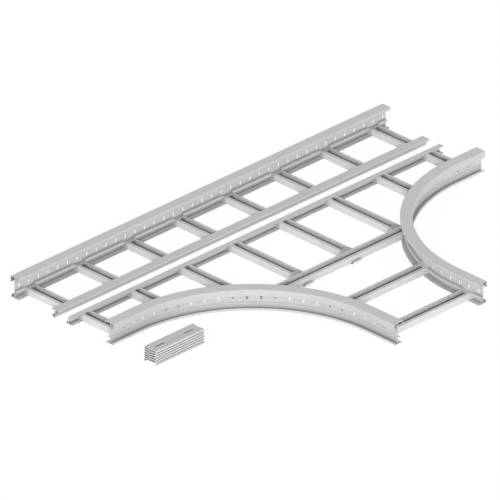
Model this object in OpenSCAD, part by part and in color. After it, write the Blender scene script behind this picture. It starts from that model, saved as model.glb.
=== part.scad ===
// Cable ladder tee in sheet steel, delivered as two halves and a stack of splice plates.
// The run lies along X and the branch points to -Y. Sizes are in millimetres, with the floor at Z = 0.

/* [Plan] */
// Width of the branch, from rail web to rail web
branch_w = 521; // [425:1:725]
// Radius of the two bends, at the rail web
bend_radius = 707; // [600:1:900]
// Straight length past the end of each bend
end_straight = 167; // [150:1:250]
// Width of the back half, from its rail web to its joint rail web
back_half_w = 251; // [200:1:350]
// Width of the front half at its ends, from its joint rail web to its rail web
front_half_w = 256; // [200:1:350]
// Distance between the two joint rail webs as the halves lie
halves_gap = 80; // [66:1:160]

/* [Side rail] */
// Thickness of the sheet that all pieces are formed from
sheet_t = 2; // [1.5:0.25:3]
// Radius of the folds, at the middle of the sheet
fold_r = 3; // [2:0.5:4]
// Height of the side rail
rail_h = 105; // [95:1:150]
// Reach of the top flange to the ladder's inside
rail_flange_in = 31; // [22:1:40]
// Reach of the top flange to the ladder's outside
rail_flange_out = 24; // [22:1:40]
// Fall of the top flange from its inner to its outer edge
rail_flange_fall = 2; // [0:0.5:4]
// Drop of the flange's lip on the ladder's inside
rail_lip_in = 12; // [10:1:20]
// Drop of the flange's lip on the ladder's outside
rail_lip_out = 30; // [15:1:34]
// Reach of the foot to the ladder's inside
rail_foot_in = 26; // [24:1:38]
// Reach of the foot to the ladder's outside
rail_foot_out = 20; // [13:1:30]
// Rise of the outer foot's lip
rail_foot_lip = 12; // [9:1:20]
// Reach of the ledge between the rungs, from the middle of the web
ledge_reach = 14.5; // [12:0.5:20]
// Drop of the lip at the ledge's edge
ledge_lip = 6.5; // [6:0.5:17]
// Depth of the groove that the fold leaves on the outside of the web
ledge_groove = 1.5; // [0.5:0.25:1.5]

/* [Rail slots] */
// Width of a slot
slot_w = 8.5; // [6:0.5:11]
// Height of a slot
slot_h = 19; // [14:1:24]
// Height of the slots' middle
slot_z = 54; // [53:1:60]
// Distance between slots on the straight stretches
slot_pitch = 58.5; // [40:0.5:80]
// Distance from the straight rail's -X end to its first slot
slot_end = 28; // [15:1:40]
// Distance from a bent rail's end to its first slot
bend_slot_end = 26; // [18:1:40]
// Angle between slots on the bends
slot_step = 5; // [3:1:9]

/* [Joint rails] */
// Reach of the back joint rail's top flange over the rungs
back_joint_in = 24; // [14:1:30]
// Reach of the back joint rail's top flange over the gap
back_joint_out = 20; // [14:1:30]
// Drop of the lip over the gap
back_joint_lip = 8; // [7:1:14]
// Reach of the back joint rail's foot under the rungs
back_joint_foot = 17; // [14:1:30]
// Rise of the foot's lip beside the rungs
back_joint_foot_lip = 12; // [8:1:16]
// Reach of the front joint rail's top flange over the rungs
front_joint_flange = 28; // [14:1:35]
// Reach of the front joint rail's foot under the rungs
front_joint_foot = 26; // [14:1:35]
// Reach of the front joint rail's foot into the gap
front_joint_toe = 10; // [8:1:16]
// Rise of the lip on that side
front_joint_toe_lip = 10; // [8:1:16]

/* [Rungs] */
// Width of a rung
rung_w = 57; // [46:1:70]
// Height of a rung
rung_h = 33; // [26:1:34]
// Width of a rung's top on each side of its slot
rung_lip = 15.5; // [8:0.5:18]
// Distance from a rung's end to its slot
slot_inset = 25; // [20:1:40]
// Radius of the slot's corners
slot_corner = 6; // [3:0.5:9]
// Distance from the run's end to its first rung's middle
rung_end = 84.5; // [70:0.5:120]
// Distance from the branch's end to its last rung's middle
branch_rung_end = 90; // [70:1:130]
// Room on each side of a rung where it passes a ledge or a lip
rung_room = 1; // [0.5:0.5:3]

/* [Cross beam] */
// Distance of the beam's middle in front of the run's front rail line
beam_offset = 188.5; // [150:0.5:230]
// Width of the beam
beam_w = 56; // [44:1:70]
// Width of the beam's top on each side of its slot
beam_lip = 15; // [8:0.5:17]
// Distance between the middles of the two clips under the beam
clip_spacing = 294; // [200:2:400]
// Length of a clip along the beam
clip_len = 58; // [40:1:80]
// Reach of a clip's turned-up lip in front of the beam
clip_reach = 8.5; // [8:0.5:16]
// Height of that lip
clip_h = 12; // [10:0.5:20]
// Radius of that lip's corners
clip_corner = 6; // [3:0.5:9]

/* [Splice plates] */
// Length of a plate
plate_len = 290; // [200:5:340]
// Width of a plate
plate_w = 75; // [66:1:85]
// Depth of a plate over its folded edges
plate_depth = 11.7; // [10.5:0.1:16]
// Radius of a plate's folds, at the middle of the sheet
plate_fold_r = 4.5; // [3:0.25:4.75]
// Reach of the lips turned in under a plate
plate_lip = 9; // [7:0.5:12]
// Width of the bead along the plate
plate_bead_w = 30; // [26:1:34]
// Depth of that bead
plate_bead_depth = 2; // [2:0.5:4]
// Distance between the middles of the plate's two slots
plate_slot_spacing = 176; // [120:2:220]
// Length of a plate slot
plate_slot_len = 60; // [30:1:70]
// Width of a plate slot
plate_slot_w = 8.5; // [6:0.5:11]
// Distance of the stack in front of the run's front rail line
stack_offset = 208; // [150:1:300]

/* [Hidden] */
$fn = 96;
steel = [0.76, 0.76, 0.76];
half_t = sheet_t / 2;
fold_steps = 4;
clear = 1;

// Plan: the run's ends, the bend centres and the web lines, with the middle of the whole plan at the origin
run_half = branch_w / 2 + bend_radius + end_straight;
bend_x = branch_w / 2 + bend_radius;
plan_depth = rail_flange_out + back_half_w + halves_gap + front_half_w + bend_radius + end_straight;
back_y = plan_depth / 2 - rail_flange_out;
back_joint_y = back_y - back_half_w;
front_joint_y = back_joint_y - halves_gap;
front_y = front_joint_y - front_half_w;
bend_y = front_y - bend_radius;
branch_end_y = bend_y - end_straight;

// Heights and reaches that the pieces share
joint_h = rung_h + 2 * sheet_t;
rung_z = sheet_t;
rung_top = rung_z + rung_h;
ledge_z = rung_top;

// Rungs: evenly spaced along the run, numbered from -X, and evenly spaced down the branch from the beam
RUNGS = 8;
rung_pitch = 2 * (run_half - rung_end) / (RUNGS - 1);
beam_y = front_y - beam_offset;
beam_back_y = beam_y + beam_w / 2;
last_rung_y = branch_end_y + branch_rung_end;
middle_rung_y = (beam_y + last_rung_y) / 2;

// Splice plates: a stack on the floor, level with the run's -X end
stack_x = -run_half + plate_len / 2;
stack_y = front_y - stack_offset - plate_w / 2;

function rung_x(number) = (number - (RUNGS + 1) / 2) * rung_pitch;
function on_beam(number) = abs(rung_x(number)) < 2 * rung_pitch;

// Inner face of a bent rail's web: its distance from the bend's centre line, at a distance past the bend's other centre line
function bend_edge(past) = past > 0 ? sqrt(pow(bend_radius + half_t, 2) - past * past) : bend_radius + half_t;
function rung_end_y(number) = on_beam(number) ? beam_back_y : bend_y + bend_edge(bend_x - abs(rung_x(number)));
function half_span(y) = bend_x - bend_edge(y - bend_y);

// Folded sheet: a path along the middle of the sheet, its corners rounded, thickened to both sides
function unit(v) = v / norm(v);
function left_of(v) = [-v[1], v[0]];
function polar(radius, angle) = radius * [cos(angle), sin(angle)];

function fold(before, corner, after, radius) =
    let (
        u = unit(before - corner),
        v = unit(after - corner),
        half_angle = acos(u * v) / 2,
        centre = corner + unit(u + v) * radius / sin(half_angle),
        from = corner + u * radius / tan(half_angle) - centre,
        to = corner + v * radius / tan(half_angle) - centre,
        start = atan2(from[1], from[0]),
        turn = atan2(cross(from, to), from * to)
    )
    [for (i = [0 : fold_steps]) centre + polar(radius, start + turn * i / fold_steps)];

function folded(path, radius) = [
    path[0],
    for (i = [1 : len(path) - 2]) each fold(path[i - 1], path[i], path[i + 1], radius),
    path[len(path) - 1]
];

// Offset of a path's point to its left, square at the ends and mitred between them
function mitre(path, i) =
    let (
        last = len(path) - 1,
        a = left_of(unit(path[i == 0 ? 1 : i] - path[i == 0 ? 0 : i - 1])),
        b = left_of(unit(path[i == last ? last : i + 1] - path[i == last ? last - 1 : i]))
    )
    (a + b) / (1 + a * b);

module sheet(path, radius = fold_r) {
    line = folded(path, radius);
    last = len(line) - 1;
    polygon(concat(
        [for (i = [0 : last]) line[i] + mitre(line, i) * half_t],
        [for (i = [last : -1 : 0]) line[i] - mitre(line, i) * half_t]
    ));
}

module rounded(width, height, radius) {
    offset(r = radius, $fn = 4 * fold_steps)
        square([width - 2 * radius, height - 2 * radius], center = true);
}

// Box section of a rung or beam, its floor at zero height
module box_section(width) {
    translate([0, rung_h / 2]) difference() {
        rounded(width, rung_h, fold_r + half_t);
        rounded(width - 2 * sheet_t, rung_h - 2 * sheet_t, fold_r - half_t);
    }
}

// Round-ended opening, long along X
module slot_outline(length, width) {
    square([length - width, width], center = true);
    for (side = [-1, 1])
        translate([side * (length - width) / 2, 0]) circle(d = width);
}

// Side rail section: x runs to the ladder's inside, y runs up
module rail_section() {
    inner = rail_flange_in - half_t;
    outer = half_t - rail_flange_out;
    high = rail_h - half_t;
    low = high - rail_flange_fall;
    foot_edge = half_t - rail_foot_out;
    ledge_edge = ledge_reach - half_t;
    fold_z = ledge_z - half_t;
    sheet([[inner, rail_h - rail_lip_in], [inner, high], [outer, low], [outer, rail_h - rail_flange_fall - rail_lip_out]]);
    difference() {
        union() {
            translate([-half_t, half_t]) square([sheet_t, high - half_t - rail_flange_fall / 2]);
            sheet([[0, fold_z], [ledge_edge, fold_z], [ledge_edge, ledge_z - ledge_lip]]);
        }
        translate([-half_t, fold_z]) circle(r = ledge_groove, $fn = 16);
    }
    sheet([[rail_foot_in, half_t], [foot_edge, half_t], [foot_edge, rail_foot_lip]]);
}

// Carries a section along +X, with its x to +Y and its y up
module along_x(length) {
    rotate([90, 0, 90]) linear_extrude(length) children();
}

// Carries a section along +Y, with its x to -X and its y up
module along_y(length) {
    rotate(90) along_x(length) children();
}

// Cutter for one upright slot in a web that faces Y
module slot_cutter() {
    depth = 2 * (half_t + clear);
    translate([0, 0, slot_z]) rotate([90, 90, 0])
        linear_extrude(depth, center = true) slot_outline(slot_h, slot_w);
}

// Way through a ledge for a rung, from its plan
module passage() {
    translate([0, 0, ledge_z - ledge_lip - clear]) linear_extrude(ledge_lip + 2 * clear) children();
}

// Back rail, in two lengths that meet in the middle
module back_rail() {
    pitches = floor((2 * run_half - slot_end - 1.5 * slot_w) / slot_pitch);
    way = ledge_reach + clear - half_t;
    color(steel) difference() {
        union() {
            for (start = [0, run_half])
                translate([start, back_y, 0]) rotate(180) along_x(run_half) rail_section();
        }
        for (i = [0 : pitches])
            translate([slot_end - run_half + i * slot_pitch, back_y, 0]) slot_cutter();
        for (i = [1 : RUNGS])
            translate([rung_x(i), back_y - half_t - way / 2, 0])
                passage() square([rung_w + 2 * rung_room, way], center = true);
    }
}

// Ways through the +X bent rail's ledge, for the rungs and the beam that end on the rail
module bend_passages() {
    room = 2 * rung_room;
    difference() {
        passage() {
            for (i = [1 : RUNGS])
                if (!on_beam(i)) translate([rung_x(i) - (rung_w + room) / 2, bend_y])
                    square([rung_w + room, front_joint_y - bend_y]);
            for (crossing = [[beam_y, beam_w], [middle_rung_y, rung_w], [last_rung_y, rung_w]])
                translate([0, crossing[0] - (crossing[1] + room) / 2]) square([bend_x, crossing[1] + room]);
        }
        bend_rail_space(half_t);
    }
}

// Bent rail of the +X side: the bend, its two straight ends, the slots along them and the ways for the rungs
module bend_rail() {
    bend_slots = floor(90 / slot_step);
    end_slots = floor((end_straight - bend_slot_end) / slot_pitch);
    difference() {
        union() {
            translate([bend_x, bend_y, 0]) rotate(90)
                rotate_extrude(angle = 90, $fn = 180) translate([bend_radius, 0]) rail_section();
            translate([bend_x, front_y, 0]) along_x(end_straight) rail_section();
            translate([branch_w / 2, branch_end_y, 0]) along_y(end_straight) rail_section();
        }
        for (i = [1 : bend_slots])
            translate([bend_x, bend_y, 0]) rotate(45 + (i - (bend_slots + 1) / 2) * slot_step)
                translate([0, bend_radius, 0]) slot_cutter();
        for (i = [0 : end_slots]) {
            along = end_straight - bend_slot_end - i * slot_pitch;
            translate([bend_x + along, front_y, 0]) slot_cutter();
            translate([branch_w / 2, bend_y - along, 0]) rotate(90) slot_cutter();
        }
        bend_passages();
    }
}

module bend_rail_right() {
    color(steel) bend_rail();
}

module bend_rail_left() {
    color(steel) mirror([1, 0, 0]) bend_rail();
}

// Joint rail of the back half, with its foot's lip let out where the rungs pass
module back_joint_rail() {
    top = joint_h - half_t;
    out = half_t - back_joint_out;
    foot = back_joint_foot - half_t;
    notch_w = rung_w + 2 * rung_room;
    color(steel) difference() {
        translate([-run_half, back_joint_y, 0]) along_x(2 * run_half) {
            sheet([[back_joint_in, top], [out, top], [out, joint_h - back_joint_lip]]);
            sheet([[0, top], [0, half_t], [foot, half_t], [foot, back_joint_foot_lip]]);
        }
        for (i = [1 : RUNGS])
            translate([rung_x(i) - notch_w / 2, back_joint_y + half_t + fold_r, sheet_t])
                cube([notch_w, back_joint_foot, back_joint_foot_lip]);
    }
}

module front_joint_rail() {
    top = joint_h - half_t;
    toe = front_joint_toe - half_t;
    color(steel) translate([-run_half, front_joint_y, 0]) along_x(2 * run_half) {
        sheet([[-front_joint_flange, top], [0, top], [0, half_t]]);
        sheet([[-front_joint_foot, half_t], [toe, half_t], [toe, front_joint_toe_lip]]);
    }
}

// Rung or beam along Y over a stretch, with a long slot in its top that stops short of its ends
module bar(stretch, ends, width, lip) {
    translate([0, 0, rung_z]) difference() {
        translate([0, stretch[0], 0]) along_y(stretch[1] - stretch[0]) box_section(width);
        translate([0, (ends[0] + ends[1]) / 2, rung_h - half_t]) linear_extrude(2 * (half_t + clear), center = true)
            rounded(width - 2 * lip, ends[1] - ends[0] - 2 * slot_inset, slot_corner);
    }
}

module back_rung(number) {
    ends = [back_joint_y + half_t, back_y - half_t];
    color(steel) translate([rung_x(number), 0, 0]) bar(ends, ends, rung_w, rung_lip);
}

// Space that the +X bent rail takes up, out to a reach from the middle of its web
module bend_rail_space(reach) {
    radius = bend_radius + reach;
    height = rail_h;
    translate([bend_x, bend_y, 0]) cylinder(r = radius, h = height, $fn = 180);
    translate([bend_x, bend_y, 0]) cube([end_straight + clear, radius, height]);
    translate([bend_x - radius, branch_end_y - clear, 0]) cube([radius, end_straight + clear, height]);
}

// Whatever it is given, cut off against the webs of the two bent rails
module between_bends() {
    difference() {
        children();
        bend_rail_space(half_t);
        mirror([1, 0, 0]) bend_rail_space(half_t);
    }
}

// The rungs in front of the branch end on the cross beam, and the others on the bent rails
module front_rung(number) {
    top = front_joint_y - half_t;
    color(steel) between_bends() translate([rung_x(number), 0, 0])
        bar([on_beam(number) ? beam_back_y : bend_y, top], [rung_end_y(number), top], rung_w, rung_lip);
}

// Bar across the branch, cut to fit between the bent rails
module branch_bar(y, width, lip) {
    between_bends() translate([0, y, 0]) rotate(-90)
        bar([-bend_x, bend_x], [-half_span(y), half_span(y)], width, lip);
}

// Clip under the cross beam, with its lip turned up in front of it
module beam_clip() {
    front = half_t - beam_w / 2 - clip_reach;
    intersection() {
        translate([-clip_len / 2, 0, 0]) along_x(clip_len)
            sheet([[beam_w / 2 - fold_r, half_t], [front, half_t], [front, clip_h]]);
        rotate([90, 0, 0]) linear_extrude(2 * beam_w, center = true)
            rounded(clip_len, 2 * clip_h, clip_corner);
    }
}

module cross_beam() {
    color(steel) {
        branch_bar(beam_y, beam_w, beam_lip);
        for (side = [-1, 1])
            translate([side * clip_spacing / 2, beam_y, 0]) beam_clip();
    }
}

module branch_rung(y) {
    color(steel) branch_bar(y, rung_w, rung_lip);
}

// Splice plate on its turned-in lips, with a bead along its middle and a slot near each end
module splice_plate(number) {
    edge = plate_w / 2 - half_t;
    lip = plate_w / 2 - plate_lip;
    top = plate_depth - half_t;
    bead_floor_z = top - plate_bead_depth;
    bead_edge = plate_bead_w / 2;
    bead_floor = bead_edge - 2 * plate_bead_depth;
    color(steel) translate([stack_x, stack_y, (number - 1) * plate_depth]) difference() {
        translate([-plate_len / 2, 0, 0]) along_x(plate_len) sheet([
            [-lip, half_t], [-edge, half_t], [-edge, top], [-bead_edge, top], [-bead_floor, bead_floor_z],
            [bead_floor, bead_floor_z], [bead_edge, top], [edge, top], [edge, half_t], [lip, half_t]
        ], plate_fold_r);
        for (side = [-1, 1])
            translate([side * plate_slot_spacing / 2, 0, bead_floor_z])
                linear_extrude(2 * (half_t + clear), center = true)
                    slot_outline(plate_slot_len, plate_slot_w);
    }
}

back_rail();
back_joint_rail();
back_rung(1);  // back_rung_1
back_rung(2);  // back_rung_2
back_rung(3);  // back_rung_3
back_rung(4);  // back_rung_4
back_rung(5);  // back_rung_5
back_rung(6);  // back_rung_6
back_rung(7);  // back_rung_7
back_rung(8);  // back_rung_8
bend_rail_left();
bend_rail_right();
front_joint_rail();
front_rung(1);  // front_rung_1
front_rung(2);  // front_rung_2
front_rung(3);  // front_rung_3
front_rung(4);  // front_rung_4
front_rung(5);  // front_rung_5
front_rung(6);  // front_rung_6
front_rung(7);  // front_rung_7
front_rung(8);  // front_rung_8
cross_beam();
branch_rung(middle_rung_y);  // branch_rung_inner
branch_rung(last_rung_y);  // branch_rung_outer
splice_plate(1);  // splice_plate_1
splice_plate(2);  // splice_plate_2
splice_plate(3);  // splice_plate_3
splice_plate(4);  // splice_plate_4
splice_plate(5);  // splice_plate_5
splice_plate(6);  // splice_plate_6
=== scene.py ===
"""Looks of the cable ladder tee.

Matt galvanised sheet steel with welded rungs, in soft studio light on a white floor.
"""

from __future__ import annotations

import logging
import math
from abc import ABC, abstractmethod
from dataclasses import dataclass, field
from enum import Enum
from typing import Any, Union

import bpy
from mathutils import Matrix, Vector

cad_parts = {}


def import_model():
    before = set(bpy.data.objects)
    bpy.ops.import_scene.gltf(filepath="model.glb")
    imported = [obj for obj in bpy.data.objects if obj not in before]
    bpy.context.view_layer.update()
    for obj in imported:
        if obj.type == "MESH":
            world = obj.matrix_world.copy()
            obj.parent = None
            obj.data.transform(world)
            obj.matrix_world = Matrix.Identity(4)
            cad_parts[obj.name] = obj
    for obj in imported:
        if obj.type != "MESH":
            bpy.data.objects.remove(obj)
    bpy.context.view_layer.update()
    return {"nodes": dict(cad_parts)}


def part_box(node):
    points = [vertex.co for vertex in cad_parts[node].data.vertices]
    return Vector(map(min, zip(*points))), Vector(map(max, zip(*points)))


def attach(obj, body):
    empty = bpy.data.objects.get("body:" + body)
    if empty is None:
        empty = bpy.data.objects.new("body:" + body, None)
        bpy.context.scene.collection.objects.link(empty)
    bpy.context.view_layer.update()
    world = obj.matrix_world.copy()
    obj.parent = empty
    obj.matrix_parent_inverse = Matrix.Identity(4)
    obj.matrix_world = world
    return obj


LOG = logging.getLogger("cable_ladder_tee")
BODY = "root"
NOISE_MIDDLE = 0.5
WHITE = (1.0, 1.0, 1.0, 1.0)

Stretch = tuple[float, float, float]
Seam = tuple[Vector, Vector]
Operand = Union["Signal", float]


class Signal:
    """A number that comes out of a shader node, with arithmetic that adds Math nodes."""

    def __init__(self, sheet: "NodeSheet", socket: bpy.types.NodeSocket) -> None:
        """Wraps one output socket.

        Args:
            sheet: The node sheet that the socket is on.
            socket: The output socket.
        """
        self.sheet = sheet
        self.socket = socket

    def _math(self, operation: str, first: Operand, second: Operand) -> "Signal":
        """Adds one Math node.

        Args:
            operation: The Math node's operation.
            first: Its first value.
            second: Its second value.

        Returns:
            The node's result.
        """
        return self.sheet.node("ShaderNodeMath", {"operation": operation}, {0: first, 1: second}).out(0)

    def __add__(self, other: Operand) -> "Signal":
        """Sum of two values."""
        return self._math("ADD", self, other)

    def __radd__(self, other: float) -> "Signal":
        """Sum of a number and this value."""
        return self._math("ADD", other, self)

    def __sub__(self, other: Operand) -> "Signal":
        """Difference of two values."""
        return self._math("SUBTRACT", self, other)

    def __rsub__(self, other: float) -> "Signal":
        """A number less this value."""
        return self._math("SUBTRACT", other, self)

    def __mul__(self, other: Operand) -> "Signal":
        """Product of two values."""
        return self._math("MULTIPLY", self, other)

    def __rmul__(self, other: float) -> "Signal":
        """Product of a number and this value."""
        return self._math("MULTIPLY", other, self)

    def __pow__(self, other: Operand) -> "Signal":
        """This value raised to a power."""
        return self._math("POWER", self, other)

    def __gt__(self, other: Operand) -> "Signal":
        """1 where this value is the higher one, and 0 elsewhere."""
        return self._math("GREATER_THAN", self, other)

    def at_most(self, other: Operand) -> "Signal":
        """The lower of two values."""
        return self._math("MINIMUM", self, other)

    def at_least(self, other: Operand) -> "Signal":
        """The higher of two values."""
        return self._math("MAXIMUM", self, other)


@dataclass
class PlacedNode:
    """A node on a sheet, with its outputs at hand."""

    sheet: "NodeSheet"
    node: bpy.types.Node

    def out(self, name: Union[str, int]) -> Signal:
        """One of the node's outputs, by name or number."""
        return Signal(self.sheet, self.node.outputs[name])


class NodeSheet:
    """A node tree of any kind, filled node by node."""

    def __init__(self, tree: bpy.types.NodeTree) -> None:
        """Starts on an emptied tree.

        Args:
            tree: The tree to fill.
        """
        self.tree = tree
        tree.nodes.clear()

    def node(
        self,
        kind: str,
        settings: dict[str, Any] | None = None,
        inputs: dict[Union[str, int], Any] | None = None,
    ) -> PlacedNode:
        """Adds one node.

        Args:
            kind: The node's type.
            settings: Its own properties, which are set first.
            inputs: Values or links for its sockets, by name or number.

        Returns:
            The placed node.
        """
        made = self.tree.nodes.new(kind)
        for name, value in (settings or {}).items():
            setattr(made, name, value)
        for name, value in (inputs or {}).items():
            socket = made.inputs[name]
            if isinstance(value, Signal):
                self.tree.links.new(value.socket, socket)
            else:
                socket.default_value = value
        return PlacedNode(self, made)

    def noise(self, place: Signal, scale: float, detail: float) -> Signal:
        """Adds soft noise.

        Args:
            place: Coordinates.
            scale: Lumps per unit of the coordinates.
            detail: Number of finer layers.

        Returns:
            A value from 0 to 1.
        """
        inputs = {"Vector": place, "Scale": scale, "Detail": detail}
        return self.node("ShaderNodeTexNoise", {}, inputs).out("Fac")

    def split(self, vector: Signal) -> PlacedNode:
        """The X, Y and Z of a vector."""
        return self.node("ShaderNodeSeparateXYZ", {}, {"Vector": vector})


class Grain(Enum):
    """The way that the sheet was rolled, as the stretch of the rolling marks along each axis."""

    ALONG_X = (2.5, 260.0, 260.0)
    ALONG_Y = (260.0, 2.5, 260.0)
    ALL_ROUND = (90.0, 90.0, 90.0)


@dataclass(frozen=True)
class Surface:
    """What changes over a surface."""

    shade: Signal
    roughness: Signal
    relief: Signal


@dataclass(frozen=True, kw_only=True)
class ZincFinish(ABC):
    name: str
    grey: float = 0.66
    metallic: float = 0.20
    roughness: float = 0.70
    bump_strength: float = 0.35
    bump_height: float = 0.00012

    def build(self) -> bpy.types.Material:
        """Makes the material.

        Returns:
            The material, ready to assign.
        """
        material = bpy.data.materials.new(self.name)
        material.use_nodes = True
        sheet = NodeSheet(material.node_tree)
        surface = self._surface(sheet, sheet.node("ShaderNodeTexCoord").out("Object"))
        base = sheet.node(
            "ShaderNodeVectorMath",
            {"operation": "SCALE"},
            {0: (self.grey, self.grey, self.grey), "Scale": surface.shade},
        ).out(0)
        bump = sheet.node(
            "ShaderNodeBump",
            {},
            {"Strength": self.bump_strength, "Distance": self.bump_height, "Height": surface.relief},
        ).out("Normal")
        zinc = sheet.node(
            "ShaderNodeBsdfPrincipled",
            {},
            {"Base Color": base, "Metallic": self.metallic, "Roughness": surface.roughness, "Normal": bump},
        )
        sheet.node("ShaderNodeOutputMaterial", {}, {"Surface": zinc.out("BSDF")})
        return material

    @abstractmethod
    def _surface(self, sheet: NodeSheet, place: Signal) -> Surface:
        """Works out what changes over the surface.

        Args:
            sheet: The material's nodes.
            place: Object coordinates.

        Returns:
            Shade, roughness and relief.
        """


@dataclass(frozen=True, kw_only=True)
class GalvanisedSheet(ZincFinish):
    """Zinc-coated sheet: pale matt grey with faint spangle and rolling marks, and painted shade in the
    recesses; tops can be painted darker and ends lighter.
    """

    grain: Grain
    spangle_size: float = 0.011
    spangle_depth: float = 0.030
    spangle_roughness: float = 0.10
    spangle_relief: float = 0.4
    cloud_scale: float = 3.2
    cloud_detail: float = 3.0
    cloud_depth: float = 0.030
    rolling_detail: float = 2.0
    rolling_depth: float = 0.020
    rolling_relief: float = 0.6
    # Painted shade: recesses and corners are darkened by how much of the sky their own sheet, or their
    # neighbours, hide from them.
    hollow_reach: float = 0.036
    hollow_power: float = 0.80
    hollow_roughness: float = 0.12
    corner_reach: float = 0.012
    corner_power: float = 1.00
    sky_rays: int = 8
    neighbours: bool = False
    shade_eased_on_tops: float = 1.0
    shade_easing_sharpness: float = 1.0
    # Painted shade on faces that look up, and painted light on faces that look along X.
    painted_top_shade: float = 0.0
    painted_end_light: float = 0.0

    def _surface(self, sheet: NodeSheet, place: Signal) -> Surface:
        """Works out what changes over the sheet.

        Args:
            sheet: The material's nodes.
            place: Object coordinates.

        Returns:
            Shade, roughness and relief.
        """
        spangle = self._spangle(sheet, place)
        cloud = sheet.noise(place, self.cloud_scale, self.cloud_detail)
        rolling = self._rolling(sheet, place)
        hollow = self._open_sky(sheet, self.hollow_reach)
        corner = self._open_sky(sheet, self.corner_reach)
        facing = sheet.split(sheet.node("ShaderNodeNewGeometry").out("Normal"))
        upward, endward = facing.out("Z").at_least(0.0), facing.out("X")
        crystals = spangle - NOISE_MIDDLE
        clouds = cloud - NOISE_MIDDLE
        streaks = rolling - NOISE_MIDDLE
        tone = 1.0 + self.spangle_depth * crystals + self.cloud_depth * clouds + self.rolling_depth * streaks
        strength = self._strength(sheet, place, upward)
        # Painted shade in the recesses and corners.
        painted_shade = hollow ** (self.hollow_power * strength) * corner ** (self.corner_power * strength)
        # Painted shade on tops and painted light on faces that look along X.
        painted_top_and_end_light = (1.0 - self.painted_top_shade * upward) * (1.0 + self.painted_end_light * endward * endward)
        uneven = self.spangle_roughness * crystals + self.hollow_roughness * (1.0 - hollow)
        return Surface(
            shade=tone * painted_shade * self._joint_shade(sheet, place) * painted_top_and_end_light,
            roughness=self.roughness + uneven,
            relief=self.rolling_relief * rolling + self.spangle_relief * spangle,
        )

    def _spangle(self, sheet: NodeSheet, place: Signal) -> Signal:
        """Zinc crystals, each of its own tone.

        Args:
            sheet: The material's nodes.
            place: Object coordinates.

        Returns:
            A value from 0 to 1 for each crystal.
        """
        inputs = {"Vector": place, "Scale": 1.0 / self.spangle_size}
        cells = sheet.node("ShaderNodeTexVoronoi", {}, inputs).out("Color")
        return sheet.node("ShaderNodeSeparateColor", {}, {"Color": cells}).out("Red")

    def _rolling(self, sheet: NodeSheet, place: Signal) -> Signal:
        """Fine marks along the way that the sheet was rolled.

        Args:
            sheet: The material's nodes.
            place: Object coordinates.

        Returns:
            A value from 0 to 1.
        """
        inputs = {"Vector": place, "Scale": self.grain.value}
        stretched = sheet.node("ShaderNodeMapping", {}, inputs).out("Vector")
        return sheet.noise(stretched, 1.0, self.rolling_detail)

    def _open_sky(self, sheet: NodeSheet, reach: float) -> Signal:
        """How far a place is free of its own sheet, and of its neighbours where they count.

        Args:
            sheet: The material's nodes.
            reach: Distance that counts, in metres.

        Returns:
            1 in the open, towards 0 in slots and corners.
        """
        settings = {"samples": self.sky_rays, "only_local": not self.neighbours}
        return sheet.node("ShaderNodeAmbientOcclusion", settings, {"Distance": reach}).out("AO")

    def _strength(self, sheet: NodeSheet, place: Signal, upward: Signal) -> Signal:
        """How strongly the painted shade darkens the recesses.

        Args:
            sheet: The material's nodes.
            place: Object coordinates.
            upward: How far the face looks up.

        Returns:
            1 on walls, and less on tops, where less shade is painted.
        """
        return 1.0 - self.shade_eased_on_tops * upward ** self.shade_easing_sharpness

    def _joint_shade(self, sheet: NodeSheet, place: Signal) -> Operand:
        """Painted shade beside the welds, as a factor on the colour.

        Args:
            sheet: The material's nodes.
            place: Object coordinates.

        Returns:
            1, as plain sheet has no painted shade at its ends.
        """
        return 1.0


@dataclass(frozen=True, kw_only=True)
class RecessedSection(GalvanisedSheet):
    """Zinc-coated section with painted shade in a recess, darker from its edge inwards, and painted shade at
    its welded ends.

    The painted shade of the recess starts at the height of recess_edge and is darkest recess_depth further
    down, or further up where that is negative, as under a lip. What lies before recess_front along Y is no
    part of it.
    """

    # Painted light: a lighter grey than the rails, taken back on tops by their painted shade, so that the
    # walls read lighter.
    grey: float = 0.77
    hollow_power: float = 0.0
    corner_power: float = 0.6
    painted_top_shade: float = 0.17
    recess_edge: float = 0.0235
    recess_depth: float = 0.018
    recess_front: float = -1.0
    deepening: float = 9.0
    # Painted shade near the joints of rungs and rails, at these places along Y.
    weld_places: tuple[float, ...] = ()
    joint_shade_reach: float = 0.034
    joint_shade_depth: float = 0.35

    def _strength(self, sheet: NodeSheet, place: Signal, upward: Signal) -> Signal:
        """How strongly the painted shade darkens the recesses.

        Args:
            sheet: The material's nodes.
            place: Object coordinates.
            upward: How far the face looks up.

        Returns:
            1 at the recess's edge, and more further in.
        """
        spot = sheet.split(place)
        depth = ((self.recess_edge - spot.out("Z")) * (1.0 / self.recess_depth)).at_least(0.0).at_most(1.0)
        return 1.0 + self.deepening * depth * depth * (spot.out("Y") > self.recess_front)

    def _joint_shade(self, sheet: NodeSheet, place: Signal) -> Operand:
        """Painted shade where the rungs meet the rails and the beam, beside the welds, as a factor on the
        colour.

        Args:
            sheet: The material's nodes.
            place: Object coordinates.

        Returns:
            1 away from the welds, and less towards each of them.
        """
        along = sheet.split(place).out("Y")
        bright: Operand = 1.0
        for weld in self.weld_places:
            away = (along - weld) * (1.0 / self.joint_shade_reach)
            bright = bright * (1.0 - self.joint_shade_depth * (1.0 - away * away).at_least(0.0))
        return bright


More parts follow.
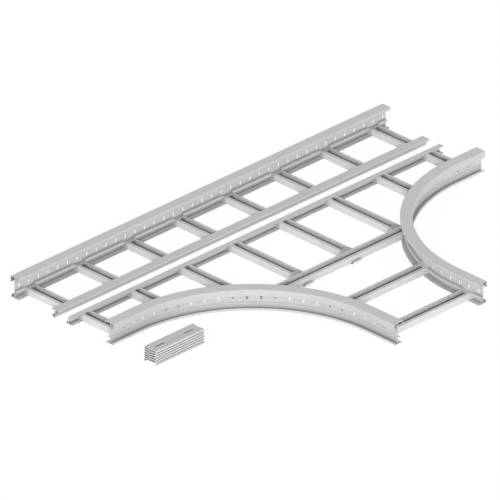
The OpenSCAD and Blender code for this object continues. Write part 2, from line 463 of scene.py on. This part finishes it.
@dataclass(frozen=True, kw_only=True)
class ZincSpray(ZincFinish):
    """Zinc-sprayed weld: darker than the sheet, with a fine grit."""

    name: str = "zinc_sprayed_weld"
    grey: float = 0.38
    bump_strength: float = 0.5
    bump_height: float = 0.0002
    detail: float = 2.0
    grit_scale: float = 900.0
    grit_depth: float = 0.12
    patch_scale: float = 60.0
    patch_depth: float = 0.16
    patch_roughness: float = 0.10

    def _surface(self, sheet: NodeSheet, place: Signal) -> Surface:
        """Works out what changes over the weld.

        Args:
            sheet: The material's nodes.
            place: Object coordinates.

        Returns:
            Shade, roughness and relief.
        """
        grit = sheet.noise(place, self.grit_scale, self.detail)
        patches = sheet.noise(place, self.patch_scale, self.detail) - NOISE_MIDDLE
        return Surface(
            shade=1.0 + self.grit_depth * (grit - NOISE_MIDDLE) + self.patch_depth * patches,
            roughness=self.roughness + self.patch_roughness * patches,
            relief=grit,
        )


class Finishes:
    def __init__(self, halves: "LadderHalves") -> None:
        """Makes all the finishes.

        Args:
            halves: Gives the places of the welds and of the beam.
        """
        # The greys of the one galvanised steel differ from part to part as painted light and shade, each set
        # to how brightly that part is lit.
        self.rail = GalvanisedSheet(name="galvanised_rail", grain=Grain.ALONG_X).build()
        self.joint = RecessedSection(
            name="galvanised_joint",
            grain=Grain.ALONG_X,
            grey=0.66,
            painted_top_shade=0.0,
            recess_edge=0.012,
            recess_depth=0.010,
            deepening=2.0,
        ).build()
        self.lipped_joint = RecessedSection(
            name="galvanised_lipped_joint",
            grain=Grain.ALONG_X,
            grey=0.675,
            hollow_power=0.25,
            corner_power=0.0,
            painted_top_shade=0.03,
            recess_edge=0.009,
            recess_depth=-0.004,
        ).build()
        self.bend = GalvanisedSheet(
            name="galvanised_bend",
            grain=Grain.ALL_ROUND,
            hollow_power=0.3,
            corner_power=0.6,
            shade_eased_on_tops=0.5,
        ).build()
        self.rung = RecessedSection(
            name="galvanised_rung",
            grain=Grain.ALONG_Y,
            weld_places=halves.weld_places(),
        ).build()
        self.cross_piece = RecessedSection(name="galvanised_cross_piece", grain=Grain.ALONG_X).build()
        self.beam = RecessedSection(
            name="galvanised_beam",
            grain=Grain.ALONG_X,
            recess_front=halves.beam_front(),
        ).build()
        # Painted shade in the grooves between the stacked plates and on their tops, and painted light on
        # their ends.
        self.plate = GalvanisedSheet(
            name="galvanised_plate",
            grain=Grain.ALONG_X,
            grey=0.80,
            hollow_reach=0.010,
            hollow_power=1.4,
            corner_reach=0.005,
            corner_power=1.4,
            shade_easing_sharpness=8.0,
            painted_top_shade=0.24,
            painted_end_light=0.35,
            neighbours=True,
        ).build()
        self.weld = ZincSpray().build()


@dataclass
class Dresser:
    """Gives CAD nodes their finish."""

    nodes: dict[str, bpy.types.Object]

    def dress(self, name: str, material: bpy.types.Material) -> None:
        """Puts one finish on one node.

        Args:
            name: The CAD node.
            material: Its finish.
        """
        slots = self.nodes[name].data.materials
        slots.clear()
        slots.append(material)
        LOG.info("%s: %s", name, material.name)


class Half(Enum):
    """A half of the tee, by the word that starts the names of its rungs."""

    BACK = "back"
    FRONT = "front"


@dataclass
class LadderHalves:
    """The two halves of the tee: side rails, joint rails, rungs and cross beam."""

    rungs: int = 8
    on_beam: tuple[int, ...] = (3, 4, 5, 6)
    rail: str = "back_rail"
    joint: str = "front_joint_rail"
    lipped_joint: str = "back_joint_rail"
    bends: tuple[str, ...] = ("bend_rail_left", "bend_rail_right")
    beam: str = "cross_beam"
    cross_pieces: tuple[str, ...] = ("branch_rung_inner", "branch_rung_outer")
    beam_width: float = 0.056
    half_sheet: float = 0.001

    def run_rungs(self, half: Half) -> list[str]:
        """Names of one half's rungs across the run."""
        return [f"{half.value}_rung_{number}" for number in range(1, self.rungs + 1)]

    def rungs_on_beam(self) -> list[str]:
        """Names of the front rungs that end on the beam."""
        return [self.run_rungs(Half.FRONT)[number - 1] for number in self.on_beam]

    def weld_places(self) -> tuple[float, ...]:
        """Where the rungs across the run are welded along Y.

        Returns:
            The middles of the three straight webs, and the back of the beam.
        """
        back_low, back_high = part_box(self.run_rungs(Half.BACK)[0])
        front_low, front_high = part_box(self.rungs_on_beam()[0])
        return (
            back_high.y + self.half_sheet,
            back_low.y - self.half_sheet,
            front_high.y + self.half_sheet,
            front_low.y,
        )

    def beam_front(self) -> float:
        """Middle of the beam's front wall along Y."""
        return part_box(self.beam)[1].y - self.beam_width + self.half_sheet

    def dress(self, dresser: Dresser, finishes: Finishes) -> None:
        """Gives every rail and rung its finish.

        Args:
            dresser: Assigns the finishes.
            finishes: The finishes to choose from.
        """
        dresser.dress(self.rail, finishes.rail)
        dresser.dress(self.joint, finishes.joint)
        dresser.dress(self.lipped_joint, finishes.lipped_joint)
        for name in self.bends:
            dresser.dress(name, finishes.bend)
        for half in Half:
            for name in self.run_rungs(half):
                dresser.dress(name, finishes.rung)
        for name in self.cross_pieces:
            dresser.dress(name, finishes.cross_piece)
        dresser.dress(self.beam, finishes.beam)


class Axis(Enum):
    """An axis of the frame, as its place in a coordinate."""

    X = 0
    Y = 1

    @property
    def other(self) -> "Axis":
        """The other axis of the floor."""
        return Axis.Y if self is Axis.X else Axis.X


@dataclass
class WeldBeads:
    """A tree that lays weld beads along the edges of a mesh."""

    pitch: float = 0.0034
    radius: float = 0.0017
    seed: int = 11
    smallest: Stretch = (0.85, 0.85, 0.60)
    largest: Stretch = (1.15, 1.15, 0.85)
    segments: int = 8
    rings: int = 5

    def tree(self) -> bpy.types.NodeTree:
        """Builds the node tree.

        Returns:
            The tree, with a named input for each of its sizes.
        """
        tree = bpy.data.node_groups.new("weld_beads", "GeometryNodeTree")
        tree.interface.new_socket("Seams", in_out="INPUT", socket_type="NodeSocketGeometry")
        tree.interface.new_socket("Bead pitch", in_out="INPUT", socket_type="NodeSocketFloat")
        tree.interface.new_socket("Bead radius", in_out="INPUT", socket_type="NodeSocketFloat")
        tree.interface.new_socket("Seed", in_out="INPUT", socket_type="NodeSocketInt")
        tree.interface.new_socket("Weld finish", in_out="INPUT", socket_type="NodeSocketMaterial")
        tree.interface.new_socket("Beads", in_out="OUTPUT", socket_type="NodeSocketGeometry")
        sheet = NodeSheet(tree)
        given = sheet.node("NodeGroupInput")
        curve = sheet.node("GeometryNodeMeshToCurve", {}, {"Mesh": given.out("Seams")}).out("Curve")
        along = sheet.node(
            "GeometryNodeCurveToPoints",
            {"mode": "LENGTH"},
            {"Curve": curve, "Length": given.out("Bead pitch")},
        )
        bead = sheet.node(
            "GeometryNodeMeshUVSphere",
            {},
            {"Segments": self.segments, "Rings": self.rings, "Radius": given.out("Bead radius")},
        ).out("Mesh")
        uneven = sheet.node(
            "FunctionNodeRandomValue",
            {"data_type": "FLOAT_VECTOR"},
            {"Min": self.smallest, "Max": self.largest, "Seed": given.out("Seed")},
        ).out("Value")
        laid = sheet.node(
            "GeometryNodeInstanceOnPoints",
            {},
            {"Points": along.out("Points"), "Instance": bead, "Scale": uneven},
        ).out("Instances")
        smooth = sheet.node("GeometryNodeSetShadeSmooth", {}, {"Geometry": laid}).out("Geometry")
        solid = sheet.node("GeometryNodeRealizeInstances", {}, {"Geometry": smooth}).out("Geometry")
        finished = sheet.node(
            "GeometryNodeSetMaterial",
            {},
            {"Geometry": solid, "Material": given.out("Weld finish")},
        ).out("Geometry")
        sheet.node("NodeGroupOutput", {}, {"Beads": finished})
        return tree

    def lay(self, name: str, seams: list[Seam], finish: bpy.types.Material) -> bpy.types.Object:
        """Lays beads along straight seams.

        Args:
            name: Name of the piece.
            seams: The two ends of each seam.
            finish: Material of the beads.

        Returns:
            The beads as one plain mesh.
        """
        lines = bpy.data.meshes.new(name + "_seams")
        ends = [end for seam in seams for end in seam]
        lines.from_pydata(ends, [(i, i + 1) for i in range(0, len(ends), 2)], [])
        beads = bpy.data.objects.new(name, lines)
        bpy.context.scene.collection.objects.link(beads)
        modifier = beads.modifiers.new("beads", "NODES")
        tree = self.tree()
        modifier.node_group = tree
        values = {
            "Bead pitch": self.pitch,
            "Bead radius": self.radius,
            "Seed": self.seed,
            "Weld finish": finish,
        }
        for socket in tree.interface.items_tree:
            if socket.name in values:
                modifier[socket.identifier] = values[socket.name]
        graph = bpy.context.evaluated_depsgraph_get()
        mesh = bpy.data.meshes.new_from_object(beads.evaluated_get(graph), depsgraph=graph)
        beads.modifiers.remove(modifier)
        beads.data = mesh
        mesh.name = name
        bpy.data.meshes.remove(lines)
        return beads


@dataclass
class RungWelds:
    """Welds where the rungs and the beam stand on the rails' feet and against the beam."""

    nodes: dict[str, bpy.types.Object]
    foot_top: float = 0.002
    rail_foot: float = 0.023
    joint_foot: float = 0.012
    clear_of_web: float = 0.002
    under_edge: float = 0.0012
    rise: float = 0.0008
    beam_floor: float = 0.007
    beam_top: float = 0.030
    edge_tolerance: float = 0.0002

    def build(self, halves: LadderHalves, finish: bpy.types.Material) -> bpy.types.Object:
        """Makes all the welds.

        Args:
            halves: The rungs and cross pieces to weld.
            finish: Material of the beads.

        Returns:
            The welds, as one piece.
        """
        seams = self._run_seams(halves) + self._branch_seams(halves)
        welds = WeldBeads().lay("rung_welds", seams, finish)
        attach(welds, BODY)
        LOG.info("rung_welds: %d seams, %d faces", len(seams), len(welds.data.polygons))
        return welds

    def _edges(self, name: str, across: Axis, side: float) -> tuple[float, float]:
        """Where one long side of a rung starts and ends.

        Args:
            name: The rung.
            across: Axis across the rung.
            side: Place of the side on that axis.

        Returns:
            Lowest and highest place along the rung.
        """
        places = [
            vertex.co[across.other.value]
            for vertex in self.nodes[name].data.vertices
            if abs(vertex.co[across.value] - side) < self.edge_tolerance
        ]
        return min(places), max(places)

    def _seam(self, across: Axis, side: float, start: float, end: float) -> Seam:
        """A seam along the lower edge of a rung's side.

        Args:
            across: Axis across the rung.
            side: Place of the seam on that axis.
            start: Where it starts along the rung.
            end: Where it ends along the rung.

        Returns:
            The two ends of the seam.
        """
        level = self.foot_top + self.rise
        if across is Axis.X:
            return Vector((side, start, level)), Vector((side, end, level))
        return Vector((start, side, level)), Vector((end, side, level))

    def _run_seams(self, halves: LadderHalves) -> list[Seam]:
        """Seams of the rungs across the run.

        Args:
            halves: Names the rungs.

        Returns:
            The seams.
        """
        seams: list[Seam] = []
        on_beam = halves.rungs_on_beam()
        for half, low_foot in ((Half.BACK, self.joint_foot), (Half.FRONT, self.rail_foot)):
            for name in halves.run_rungs(half):
                seams += self._rung_seams(name, low_foot, name in on_beam)
        return seams

    def _rung_seams(self, name: str, low_foot: float, on_beam: bool) -> list[Seam]:
        """Seams of one rung across the run.

        Args:
            name: The rung.
            low_foot: Reach of the foot under its lower end along Y.
            on_beam: Whether that end stands against the beam instead.

        Returns:
            Two seams on each side of the rung.
        """
        seams: list[Seam] = []
        low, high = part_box(name)
        for side, inward in ((low.x, self.under_edge), (high.x, -self.under_edge)):
            start, end = self._edges(name, Axis.X, side)
            first, last = start + self.clear_of_web, end - self.clear_of_web
            seams.append(self._seam(Axis.X, side + inward, last - self.rail_foot, last))
            if on_beam:
                seams.append((Vector((side, start, self.beam_floor)), Vector((side, start, self.beam_top))))
            else:
                seams.append(self._seam(Axis.X, side + inward, first, first + low_foot))
        return seams

    def _branch_seams(self, halves: LadderHalves) -> list[Seam]:
        """Seams of the beam and of the rungs across the branch.

        Args:
            halves: Names the cross pieces.

        Returns:
            The seams.
        """
        seams: list[Seam] = []
        for name in (halves.beam, *halves.cross_pieces):
            low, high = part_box(name)
            front = high.y - halves.beam_width if name == halves.beam else low.y
            for side, inward in ((front, self.under_edge), (high.y, -self.under_edge)):
                start, end = self._edges(name, Axis.Y, side)
                first, last = start + self.clear_of_web, end - self.clear_of_web
                seams.append(self._seam(Axis.Y, side + inward, first, first + self.rail_foot))
                seams.append(self._seam(Axis.Y, side + inward, last - self.rail_foot, last))
        return seams


@dataclass
class SpliceStack:
    """The splice plates that lie in a stack beside the run."""

    plates: int = 6

    def dress(self, dresser: Dresser, finishes: Finishes) -> None:
        """Gives every plate its finish.

        Args:
            dresser: Assigns the finishes.
            finishes: The finishes to choose from.
        """
        for number in range(1, self.plates + 1):
            dresser.dress(f"splice_plate_{number}", finishes.plate)


@dataclass
class Studio:
    """Camera at the photograph's angle, a broad lamp beside it, a pale dome and a white floor."""

    azimuth: float = math.radians(-44.8775)
    elevation: float = math.radians(27.9282)
    target: Vector = field(default_factory=lambda: Vector((-0.10104, 0.31735, 0.0)))
    frame_width: float = 2.163694
    lens: float = 1700.0
    sensor: float = 36.0
    nearest: float = 1.0
    farthest: float = 400.0
    key_strength: float = 1.50
    key_turn: float = math.radians(2.0)
    key_drop: float = math.radians(2.5)
    key_angle: float = math.radians(10.0)
    dome_horizon: float = 1.38
    dome_zenith: float = 0.08
    floor_half: float = 40.0
    floor_level: float = -0.0002
    floor_grey: float = 0.85
    floor_glow: float = 0.92
    floor_share: float = 0.12

    def build(self) -> None:
        """Sets up the whole studio."""
        scene = bpy.context.scene
        scene.view_settings.view_transform = "Standard"
        self._camera(scene)
        self._key(scene)
        self._dome(scene)
        self._floor(scene)

    def _back(self, azimuth: float, elevation: float) -> Vector:
        """Unit vector from the object to a place around it.

        Args:
            azimuth: Turn from the -Y side towards +X, in radians.
            elevation: Angle above the floor, in radians.

        Returns:
            The unit vector.
        """
        level = math.cos(elevation)
        return Vector((math.sin(azimuth) * level, -math.cos(azimuth) * level, math.sin(elevation)))

    def _camera(self, scene: bpy.types.Scene) -> None:
        """Makes the long-lens camera.

        Args:
            scene: The scene that it belongs to.
        """
        data = bpy.data.cameras.new("camera")
        data.lens = self.lens
        data.sensor_width = self.sensor
        data.clip_start = self.nearest
        data.clip_end = self.farthest
        camera = bpy.data.objects.new("camera", data)
        back = self._back(self.azimuth, self.elevation)
        camera.location = self.target + back * (self.frame_width * self.lens / self.sensor)
        camera.rotation_euler = (-back).to_track_quat("-Z", "Y").to_euler()
        scene.collection.objects.link(camera)
        scene.camera = camera

    def _key(self, scene: bpy.types.Scene) -> None:
        """Makes the broad main lamp, a little to the right of the camera and lower.

        Args:
            scene: The scene that it belongs to.
        """
        data = bpy.data.lights.new("key", "SUN")
        data.energy = self.key_strength
        data.angle = self.key_angle
        lamp = bpy.data.objects.new("key", data)
        back = self._back(self.azimuth + self.key_turn, self.elevation - self.key_drop)
        lamp.rotation_euler = (-back).to_track_quat("-Z", "Y").to_euler()
        scene.collection.objects.link(lamp)

    def _seen_directly(self, sheet: NodeSheet) -> Signal:
        """1 for what the camera sees directly, in a gloss or through glass, and 0 for soft light."""
        path = sheet.node("ShaderNodeLightPath")
        seen = path.out("Is Camera Ray").at_least(path.out("Is Glossy Ray"))
        return seen.at_least(path.out("Is Transmission Ray"))

    def _dome(self, scene: bpy.types.Scene) -> None:
        """Makes the pale dome, which is white where it is seen.

        Args:
            scene: The scene that it belongs to.
        """
        world = bpy.data.worlds.new("dome")
        world.use_nodes = True
        sheet = NodeSheet(world.node_tree)
        height = sheet.split(sheet.node("ShaderNodeTexCoord").out("Generated")).out("Z").at_least(0.0)
        soft = self.dome_horizon + (self.dome_zenith - self.dome_horizon) * height
        strength = soft + (1.0 - soft) * self._seen_directly(sheet)
        dome = sheet.node("ShaderNodeBackground", {}, {"Color": WHITE, "Strength": strength})
        sheet.node("ShaderNodeOutputWorld", {}, {"Surface": dome.out("Background")})
        scene.world = world

    def _floor(self, scene: bpy.types.Scene) -> None:
        """Makes the floor, white where it is seen, with the object's faint shadow on it.

        Args:
            scene: The scene that it belongs to.
        """
        half, level = self.floor_half, self.floor_level
        corners = [(-half, -half, level), (half, -half, level), (half, half, level), (-half, half, level)]
        mesh = bpy.data.meshes.new("floor")
        mesh.from_pydata(corners, [], [(0, 1, 2, 3)])
        mesh.materials.append(self._floor_paint())
        floor = bpy.data.objects.new("floor", mesh)
        scene.collection.objects.link(floor)

    def _floor_paint(self) -> bpy.types.Material:
        """Makes the floor's material.

        Returns:
            Matt grey for soft light, and a glow with a faint shadow where it is seen.
        """
        material = bpy.data.materials.new("white_floor")
        material.use_nodes = True
        sheet = NodeSheet(material.node_tree)
        matt = self._matt(sheet, self.floor_grey)
        shadowed = self._matt(sheet, self.floor_share)
        glow = sheet.node("ShaderNodeEmission", {}, {"Color": WHITE, "Strength": self.floor_glow})
        white = sheet.node("ShaderNodeAddShader", {}, {0: shadowed, 1: glow.out("Emission")}).out("Shader")
        mixed = sheet.node("ShaderNodeMixShader", {}, {0: self._seen_directly(sheet), 1: matt, 2: white})
        sheet.node("ShaderNodeOutputMaterial", {}, {"Surface": mixed.out("Shader")})
        return material

    def _matt(self, sheet: NodeSheet, grey: float) -> Signal:
        """A matt grey shader."""
        return sheet.node("ShaderNodeBsdfDiffuse", {}, {"Color": (grey, grey, grey, 1.0)}).out("BSDF")


def main() -> None:
    """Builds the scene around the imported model."""
    logging.basicConfig(level=logging.INFO, format="%(name)s: %(message)s")
    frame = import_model()
    Studio().build()
    halves = LadderHalves()
    finishes = Finishes(halves)
    dresser = Dresser(frame["nodes"])
    halves.dress(dresser, finishes)
    RungWelds(frame["nodes"]).build(halves, finishes.weld)
    SpliceStack().dress(dresser, finishes)


if __name__ == "__main__":
    main()
